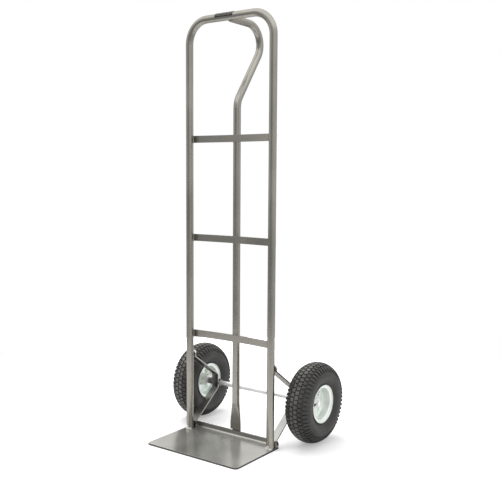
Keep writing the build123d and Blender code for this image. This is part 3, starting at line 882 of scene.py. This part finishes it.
def nut_mesh(name, size):
    """Nut standing on its seat, chamfered on both faces, with a countersunk bore."""
    flats, high, bore = size["flats"], size["nut"], size["diameter"] / 2 + THREAD_PLAY
    face, mouth = FACE_SHARE * flats, bore + BORE_CHAMFER
    upper = hex_ring(flats, high, NUT_CUT * high)
    lower = [Vector((point.x, point.y, high * MM - point.z)) for point in upper]
    rings = [round_ring(bore, BORE_CHAMFER), round_ring(mouth, 0.0), round_ring(face, 0.0), lower]
    rings += [upper, round_ring(face, high), round_ring(mouth, high), round_ring(bore, high - BORE_CHAMFER)]
    return skin_rings(name, rings, closed=True)


def washer_mesh(name, size):
    """Flat washer with softened edges."""
    outer, bore = size["washer"] / 2, size["diameter"] / 2 + WASHER_PLAY
    rings = [round_ring(bore, 0.0), round_ring(outer - WASHER_BURR, 0.0), round_ring(outer, WASHER_BURR)]
    rings += [round_ring(outer, WASHER_THICKNESS - WASHER_ROUND)]
    rings += [round_ring(outer - WASHER_ROUND, WASHER_THICKNESS), round_ring(bore, WASHER_THICKNESS)]
    return skin_rings(name, rings, closed=True)


print("fastener sizes:", M8, M6)


# %% Set a fastener on its seats
def seat_tree():
    """One fastener on every point of the seed mesh."""
    tree, given, result = geometry_tree(
        "seats", {"Fastener": "Object", "Turn": "Rotation", "Finish": "Material"})
    shape = node(tree, "GeometryNodeObjectInfo", {"Object": given["Fastener"]}).outputs["Geometry"]
    copies = node(tree, "GeometryNodeInstanceOnPoints",
                  {"Points": given["Geometry"], "Instance": shape, "Rotation": given["Turn"]})
    realize(tree, copies.outputs[0], given["Finish"], result)
    return tree


seats = seat_tree()


def fit(node_name, shape, seat_points, facing, body):
    """Set a fastener on its seats, in the place of a node's plain ones."""
    model = add_object(node_name + "_model", shape)
    seed = bpy.data.meshes.new(node_name + "_seats")
    seed.from_pydata(seat_points, [], [])
    turn = Vector(facing).to_track_quat("Z", "Y").to_euler()
    values = {"Fastener": model, "Turn": turn, "Finish": bright_zinc}
    piece = grow(node_name + "_dressed", seed, seats, values)
    bpy.data.objects.remove(model)
    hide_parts(node_name)
    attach(piece, body)
    print(piece.name, "on", len(seat_points), "seats")


print("tree for fasteners:", seats.name)

# %% [markdown]
# ## Fasteners on the frame and on the rims
# Each upright's foot is bolted through the strap's lower tab, and each strap's upper tab is
# bolted to the upright from behind. Four bolts hold the two halves of each rim together.
# The seats come from the boxes of the plain solids.

# %% Fit the fasteners of the frame
FRONT, REAR = (0, -1, 0), (0, 1, 0)


def seat_pair(node_name, seat_y):
    """A seat on each side, at a node's own height."""
    height = middle(node_name).z
    return [Vector((side * upright_x, seat_y, height)) for side in (-1, 1)]


def seats_before(node_name):
    """Seats at the front of nuts or washers that look to the rear."""
    return seat_pair(node_name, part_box(node_name)[0].y)


head_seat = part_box("foot_bolts")[0].y + M6["head"] * MM
foot_bolt = bolt_mesh("foot_bolt", M6, (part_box("foot_bolts")[1].y - head_seat) / MM)
fit("foot_bolts", foot_bolt, seat_pair("foot_bolts", head_seat), FRONT, "frame")
fit("foot_nuts", nut_mesh("foot_nut", M6), seats_before("foot_nuts"), REAR, "frame")
fit("foot_washers", washer_mesh("foot_washer", M6), seats_before("foot_washers"), REAR, "frame")

head_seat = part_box("strap_bolts")[1].y - M8["head"] * MM
strap_bolt = bolt_mesh("strap_bolt", M8, (head_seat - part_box("strap_bolts")[0].y) / MM)
fit("strap_bolts", strap_bolt, seat_pair("strap_bolts", head_seat), REAR, "frame")
fit("strap_washers", washer_mesh("strap_washer", M8), seats_before("strap_washers"), REAR, "frame")

# %% Fit the fasteners of the rims
RIM_BOLT_CIRCLE = 63.0
bolt_reach = RIM_BOLT_CIRCLE / 2 * math.sqrt(0.5) * MM
bolt_places = [(y, z) for y in (-bolt_reach, bolt_reach) for z in (-bolt_reach, bolt_reach)]
for wheel, centre in wheel_places.items():
    side_name = wheel.split("_")[0]
    outward = math.copysign(1.0, centre.x)
    bolts, nuts = side_name + "_rim_bolts", side_name + "_rim_nuts"
    outer_corner = 1 if outward > 0 else 0
    nut_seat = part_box(nuts)[outer_corner].x
    head_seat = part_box(bolts)[outer_corner].x - outward * M8["head"] * MM
    rim_shank = extent(bolts).x / MM - M8["head"]
    bolt_seats = [Vector((head_seat, centre.y + y, centre.z + z)) for y, z in bolt_places]
    nut_seats = [Vector((nut_seat, centre.y + y, centre.z + z)) for y, z in bolt_places]
    fit(bolts, bolt_mesh("rim_bolt", M8, rim_shank), bolt_seats, (outward, 0, 0), wheel)
    fit(nuts, nut_mesh("rim_nut", M8), nut_seats, (-outward, 0, 0), wheel)

# %% [markdown]
# ## Weld beads
# The frame is welded, and each joint shows a low rippled bead under the paint. A pattern in
# the paint could hint at it, but only real ripples catch the light from every side. So a bead
# is a row of overlapping drops along the joint's line. The lines are worked out from the
# pieces that meet there, and the tree lays one flat drop at each step, turned along the
# line. At the feet of the uprights and of the post the drops are larger, in a near-white,
# mostly matt tone that is painted light: it stands in for the glints on those welds.

# %% Lines of the beads
BEAD_HALF = 2.2 * MM
CROSSBAR_INSET = 5.5 * MM
POST_GAP = 1.0 * MM
SLEEVE_RISE = 4.5 * MM
HANDLE_DROP = 5.0 * MM
SADDLE_START, SADDLE_SWEEP, SADDLE_STEPS = -25, 230, 24


def straight(start, end):
    """Joint line between two points."""
    return [Vector(start), Vector(end)]


def crossbar_lines(node_name):
    """Beads where a crossbar meets both uprights and the post."""
    low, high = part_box(node_name)
    upright_y, post_y = frame_y + tube_radius, high.y + POST_GAP
    found = []
    for side in (-1, 1):
        for x, y in ((upright_x - CROSSBAR_INSET, upright_y), (CROSSBAR_INSET, post_y)):
            found.append(straight((side * x, y, low.z), (side * x, y, high.z)))
    return found


def saddle_line():
    """Bead where the handle's end meets the rear of the top bar."""
    line = []
    for step in range(SADDLE_STEPS + 1):
        angle = math.radians(SADDLE_START + SADDLE_SWEEP * step / SADDLE_STEPS)
        z = bar_z - HANDLE_DROP + tube_radius * math.sin(angle)
        depth = math.sqrt(tube_radius**2 - (z - bar_z) ** 2)
        line.append(Vector((tube_radius * math.cos(angle), frame_y + depth, z)))
    return line


def joint_lines():
    """Every welded joint of the handle, the crossbars and the straps."""
    found = [saddle_line()]
    for name in ("lower_crossbar", "middle_crossbar", "upper_crossbar"):
        found += crossbar_lines(name)
    for name in ("left", "right"):
        strap_low, strap_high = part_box(name + "_axle_strap")
        for rise in (-SLEEVE_RISE, SLEEVE_RISE):
            place = (strap_high.y, axle_place.z + rise)
            found.append(straight((strap_low.x + BEAD_HALF, *place), (strap_high.x - BEAD_HALF, *place)))
    return found


print("joints with a bead:", len(joint_lines()))

# %% Lines of the tacks at the feet
TACK_HALF = 3.7 * MM
FOOT_ARC, FOOT_ARC_STEPS = (-165, -45), 16
POST_TACK_END = 0.7


def foot_arc(centre):
    """Joint line round the front of an upright's foot."""
    start, end = FOOT_ARC
    line = []
    for step in range(FOOT_ARC_STEPS + 1):
        angle = math.radians(start + (end - start) * step / FOOT_ARC_STEPS)
        line.append(Vector(centre) + Vector((math.cos(angle), math.sin(angle), 0)) * tube_radius)
    return line


def foot_lines():
    """Joints of the uprights' feet with the plate, and of the post's foot with the flange."""
    plate_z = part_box("frame_loop")[0].z
    flange_y, flange_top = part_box("toe_plate")[1].yz
    found = [foot_arc((side * upright_x, frame_y, plate_z)) for side in (-1, 1)]
    post_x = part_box("p_handle")[0].x + TACK_HALF
    found.append(straight((post_x, flange_y, flange_top), (post_x * POST_TACK_END, flange_y, flange_top)))
    return found


print("joints with tacks:", len(foot_lines()))

# %% Tree for the beads
BEAD_RISE = 0.75
RIPPLE_SIDES, RIPPLE_RINGS = 10, 6


def drop_mesh(half):
    """Flat round ripple of a bead of a given half width, lying along Z."""
    drop = bmesh.new()
    bmesh.ops.create_uvsphere(drop, u_segments=RIPPLE_SIDES, v_segments=RIPPLE_RINGS, radius=half)
    for vertex in drop.verts:
        vertex.co.z *= BEAD_RISE
    for face in drop.faces:
        face.smooth = True
    mesh = bpy.data.meshes.new("weld_drop")
    drop.to_mesh(mesh)
    drop.free()
    return mesh


def bead_tree():
    """Ripples along every line of the seed mesh."""
    tree, given, result = geometry_tree("bead", {"Ripple": "Object", "Step": "Float", "Finish": "Material"})
    curve = node(tree, "GeometryNodeMeshToCurve", {"Mesh": given["Geometry"]}).outputs[0]
    even = node(tree, "GeometryNodeResampleCurve", {"Curve": curve, "Length": given["Step"]}, mode="LENGTH")
    along = node(tree, "GeometryNodeInputTangent").outputs[0]
    turn = node(tree, "FunctionNodeAlignRotationToVector", {"Vector": along}, axis="Z").outputs[0]
    shape = node(tree, "GeometryNodeObjectInfo", {"Object": given["Ripple"]}).outputs["Geometry"]
    copies = node(tree, "GeometryNodeInstanceOnPoints",
                  {"Points": even.outputs[0], "Instance": shape, "Rotation": turn})
    realize(tree, copies.outputs[0], given["Finish"], result)
    return tree


beads_along = bead_tree()
print("tree for welds:", beads_along.name)

# %% Lay the beads
BEAD_STEP = 1.3 * MM


def lay_beads(name, joints, half, finish):
    """Weld beads along lines, as one piece on the frame."""
    points, edges = [], []
    for line in joints:
        first = len(points)
        points += line
        edges += [(first + step, first + step + 1) for step in range(len(line) - 1)]
    seed = bpy.data.meshes.new("joint_lines")
    seed.from_pydata(points, edges, [])
    ripple = add_object("weld_drop", drop_mesh(half))
    values = {"Ripple": ripple, "Step": BEAD_STEP, "Finish": finish}
    beads = grow(name, seed, beads_along, values)
    bpy.data.objects.remove(ripple)
    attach(beads, "frame")
    print(name, "faces:", len(beads.data.polygons))


lay_beads("frame_welds", joint_lines(), BEAD_HALF, weld_paint)
lay_beads("foot_welds", foot_lines(), TACK_HALF, tack_zinc)

# %% [markdown]
# ## Weld metal at the handle's end
# The handle meets the top bar a little below the bar's middle, so the lower lip of its cut
# end stays open under the bar. A welder fills such a lip. The filling is skinned through a
# few half-moon sections that shrink towards the bar.

# %% Fill the handle's lip
LIP_CHORD = 4.2 * MM
LIP_PLAY = 0.7 * MM
LIP_FILL = ((9.0, 1.0), (5.8, 1.0), (4.6, 0.93), (3.8, 0.76))
LIP_STEPS = 16


def lip_mesh():
    """Weld metal that closes the lip, through sections of a place in millimetres and a size."""
    radius = tube_radius - LIP_PLAY
    edge = math.asin(LIP_CHORD / radius)
    chord_z = bar_z - HANDLE_DROP - LIP_CHORD
    rings = []
    for ahead, share in LIP_FILL:
        ring = []
        for step in range(LIP_STEPS + 1):
            angle = edge - math.pi + (math.pi - 2 * edge) * step / LIP_STEPS
            x = share * radius * math.cos(angle)
            rise = share * (radius * math.sin(angle) + LIP_CHORD)
            ring.append(Vector((x, frame_y + ahead * MM, chord_z + rise)))
        rings.append(ring)
    return skin_rings("handle_lip_weld", rings, smooth=True)


lip_weld = add_object("handle_lip_weld", lip_mesh())
lip_weld.data.materials.append(weld_paint)
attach(lip_weld, "frame")
print(lip_weld.name, "faces:", len(lip_weld.data.polygons))

# %% [markdown]
# ## Camera
# The photograph was taken from the front and right of the truck, a little above its middle,
# with a moderate lens. A camera that is set by eye seldom agrees with every edge at once. So
# these values were solved from straight edges and from the wheels' outlines, and they put the
# tubes, the plate and the wheels where the photograph has them, in a square picture.

# %% Camera
CAMERA_PLACE = Vector((1.43980, -1.90376, 0.83640))
YAW, PITCH, ROLL = (math.radians(angle) for angle in (36.127, 5.634, 0.336))
SENSOR_WIDTH = 36.0
FOCAL_PIXELS, PICTURE_PIXELS = 762.91, 500

lens = bpy.data.cameras.new("studio_camera")
lens.sensor_width = SENSOR_WIDTH
lens.lens = FOCAL_PIXELS / PICTURE_PIXELS * SENSOR_WIDTH
camera = bpy.data.objects.new("studio_camera", lens)
bpy.context.scene.collection.objects.link(camera)
turn = (Matrix.Rotation(YAW, 4, "Z") @ Matrix.Rotation(math.pi / 2 - PITCH, 4, "X")
        @ Matrix.Rotation(ROLL, 4, "Z"))
camera.matrix_world = Matrix.Translation(CAMERA_PLACE) @ turn
bpy.context.scene.camera = camera
print("lens", round(lens.lens, 2), "mm")

# %% [markdown]
# ## White floor
# A product photograph on white has a bright sweep and large soft lamps, so the only shadow
# is a faint one under the wheels. The floor stays a real surface that takes that shadow. A
# glow that only the camera and reflections see lifts it to white, a little near the truck
# and fully where the sweep would rise behind it.

# %% Stage
WHITE = (1.0, 1.0, 1.0, 1.0)
FLOOR_GREY = (0.85, 0.85, 0.85, 1.0)
FLOOR_RADIUS, FLOOR_SIDES = 1.5, 96
FLOOR_GLOW, MIRRORED_GLOW = 0.32, 0.10
SHADOW_REACH, SWEEP_REACH = 0.75, 1.4


def seen_rays(tree):
    """One for rays from the camera, and one for rays that show the stage in a reflection."""
    path = node(tree, "ShaderNodeLightPath").outputs
    mirrored = math_node(tree, "ADD", path["Is Glossy Ray"], path["Is Transmission Ray"], clamp=True)
    return path["Is Camera Ray"], mirrored


def make_floor():
    """Pale floor that takes the shadow and looks white to the camera."""
    sheet = bmesh.new()
    bmesh.ops.create_circle(sheet, cap_ends=True, segments=FLOOR_SIDES, radius=FLOOR_RADIUS)
    mesh = bpy.data.meshes.new("floor")
    sheet.to_mesh(mesh)
    sheet.free()
    floor = add_object("floor", mesh)
    material = bpy.data.materials.new("floor_white")
    material.use_nodes = True
    tree = material.node_tree
    tree.nodes.clear()
    matt = node(tree, "ShaderNodeBsdfDiffuse", {"Color": FLOOR_GREY})
    place = node(tree, "ShaderNodeTexCoord").outputs["Object"]
    reach = node(tree, "ShaderNodeVectorMath", {0: place}, operation="LENGTH").outputs["Value"]
    level = spread(tree, reach, SHADOW_REACH, SWEEP_REACH, FLOOR_GLOW, 1.0)
    direct, mirrored = seen_rays(tree)
    seen_glow = math_node(tree, "MULTIPLY", direct, level)
    strength = math_node(tree, "ADD", seen_glow, math_node(tree, "MULTIPLY", mirrored, MIRRORED_GLOW))
    glow = node(tree, "ShaderNodeEmission", {"Color": WHITE, "Strength": strength})
    both = node(tree, "ShaderNodeAddShader", {0: matt.outputs[0], 1: glow.outputs[0]})
    node(tree, "ShaderNodeOutputMaterial", {"Surface": both.outputs[0]})
    mesh.materials.append(material)
    print("floor:", FLOOR_RADIUS, "m in radius")


make_floor()

# %% [markdown]
# ## Surroundings and lamps
# A studio is bright behind and above the truck, and dimmer near the floor and on the side
# where the photographer stands. The paint mirrors that, so the surroundings fade towards the
# front and low down, while the camera always sees white. Two large area lamps give the soft
# light. Mirrored in a pale plate they would burn out, so reflections don't show them and see
# a bright ceiling in their place.

# %% Surroundings
DIM_SIDE = Vector((-0.1, -0.99, -0.12)).normalized()
LOW_FADE, LOW_LEVELS = (-0.4, 0.9), (0.74, 0.35)
HIGH_FADE, HIGH_LEVELS = (0.7, 1.0), (0.97, 0.33)
HORIZON = (-0.06, 0.04)
CEILING_EDGE, CEILING_LEVELS = (0.38, 0.6), (1.0, 1.7)
WORLD_LIGHT = 0.60


def blend_value(tree, share, first, second):
    """Mix two values by a share from 0 to 1."""
    return node(tree, "ShaderNodeMix", {0: share, 2: first, 3: second}).outputs[0]


def make_world():
    """White to the camera; in reflections and as a light it is dimmer low down and in front."""
    world = bpy.data.worlds.new("white_room")
    world.use_nodes = True
    tree = world.node_tree
    tree.nodes.clear()
    facing = node(tree, "ShaderNodeTexCoord").outputs["Generated"]
    ahead = {0: facing, 1: DIM_SIDE}
    side = node(tree, "ShaderNodeVectorMath", ahead, operation="DOT_PRODUCT").outputs["Value"]
    height = node(tree, "ShaderNodeSeparateXYZ", {0: facing}).outputs["Z"]
    low = spread(tree, side, *LOW_FADE, *LOW_LEVELS)
    high = spread(tree, side, *HIGH_FADE, *HIGH_LEVELS)
    walls = blend_value(tree, spread(tree, height, *HORIZON), low, high)
    shown = math_node(tree, "MULTIPLY", walls, spread(tree, height, *CEILING_EDGE, *CEILING_LEVELS))
    lighting = math_node(tree, "MULTIPLY", walls, WORLD_LIGHT)
    direct, mirrored = seen_rays(tree)
    strength = math_node(tree, "MAXIMUM", blend_value(tree, mirrored, lighting, shown), direct)
    sky = node(tree, "ShaderNodeBackground", {"Color": WHITE, "Strength": strength})
    node(tree, "ShaderNodeOutputWorld", {"Surface": sky.outputs[0]})
    bpy.context.scene.world = world
    print("surroundings:", world.name)


make_world()


# %% Lamps
def add_softbox(name, place, aim, size, power):
    """Square area lamp that looks at a point and stays out of reflections."""
    lamp = bpy.data.lights.new(name, "AREA")
    lamp.shape = "SQUARE"
    lamp.size = size
    lamp.energy = power
    holder = bpy.data.objects.new(name, lamp)
    bpy.context.scene.collection.objects.link(holder)
    holder.visible_glossy = False
    look = (Vector(aim) - Vector(place)).to_track_quat("-Z", "Y")
    holder.matrix_world = Matrix.Translation(place) @ look.to_matrix().to_4x4()
    print(name, "of", power, "watts")


add_softbox("overhead_softbox", place=(-1.0, 0.4, 3.0), aim=(0.0, 0.0, 0.4), size=3.2, power=105.0)
add_softbox("side_softbox", place=(3.0, 1.2, 2.0), aim=(0.0, 0.0, 0.8), size=2.6, power=20.0)
bpy.context.scene.view_settings.view_transform = "Standard"
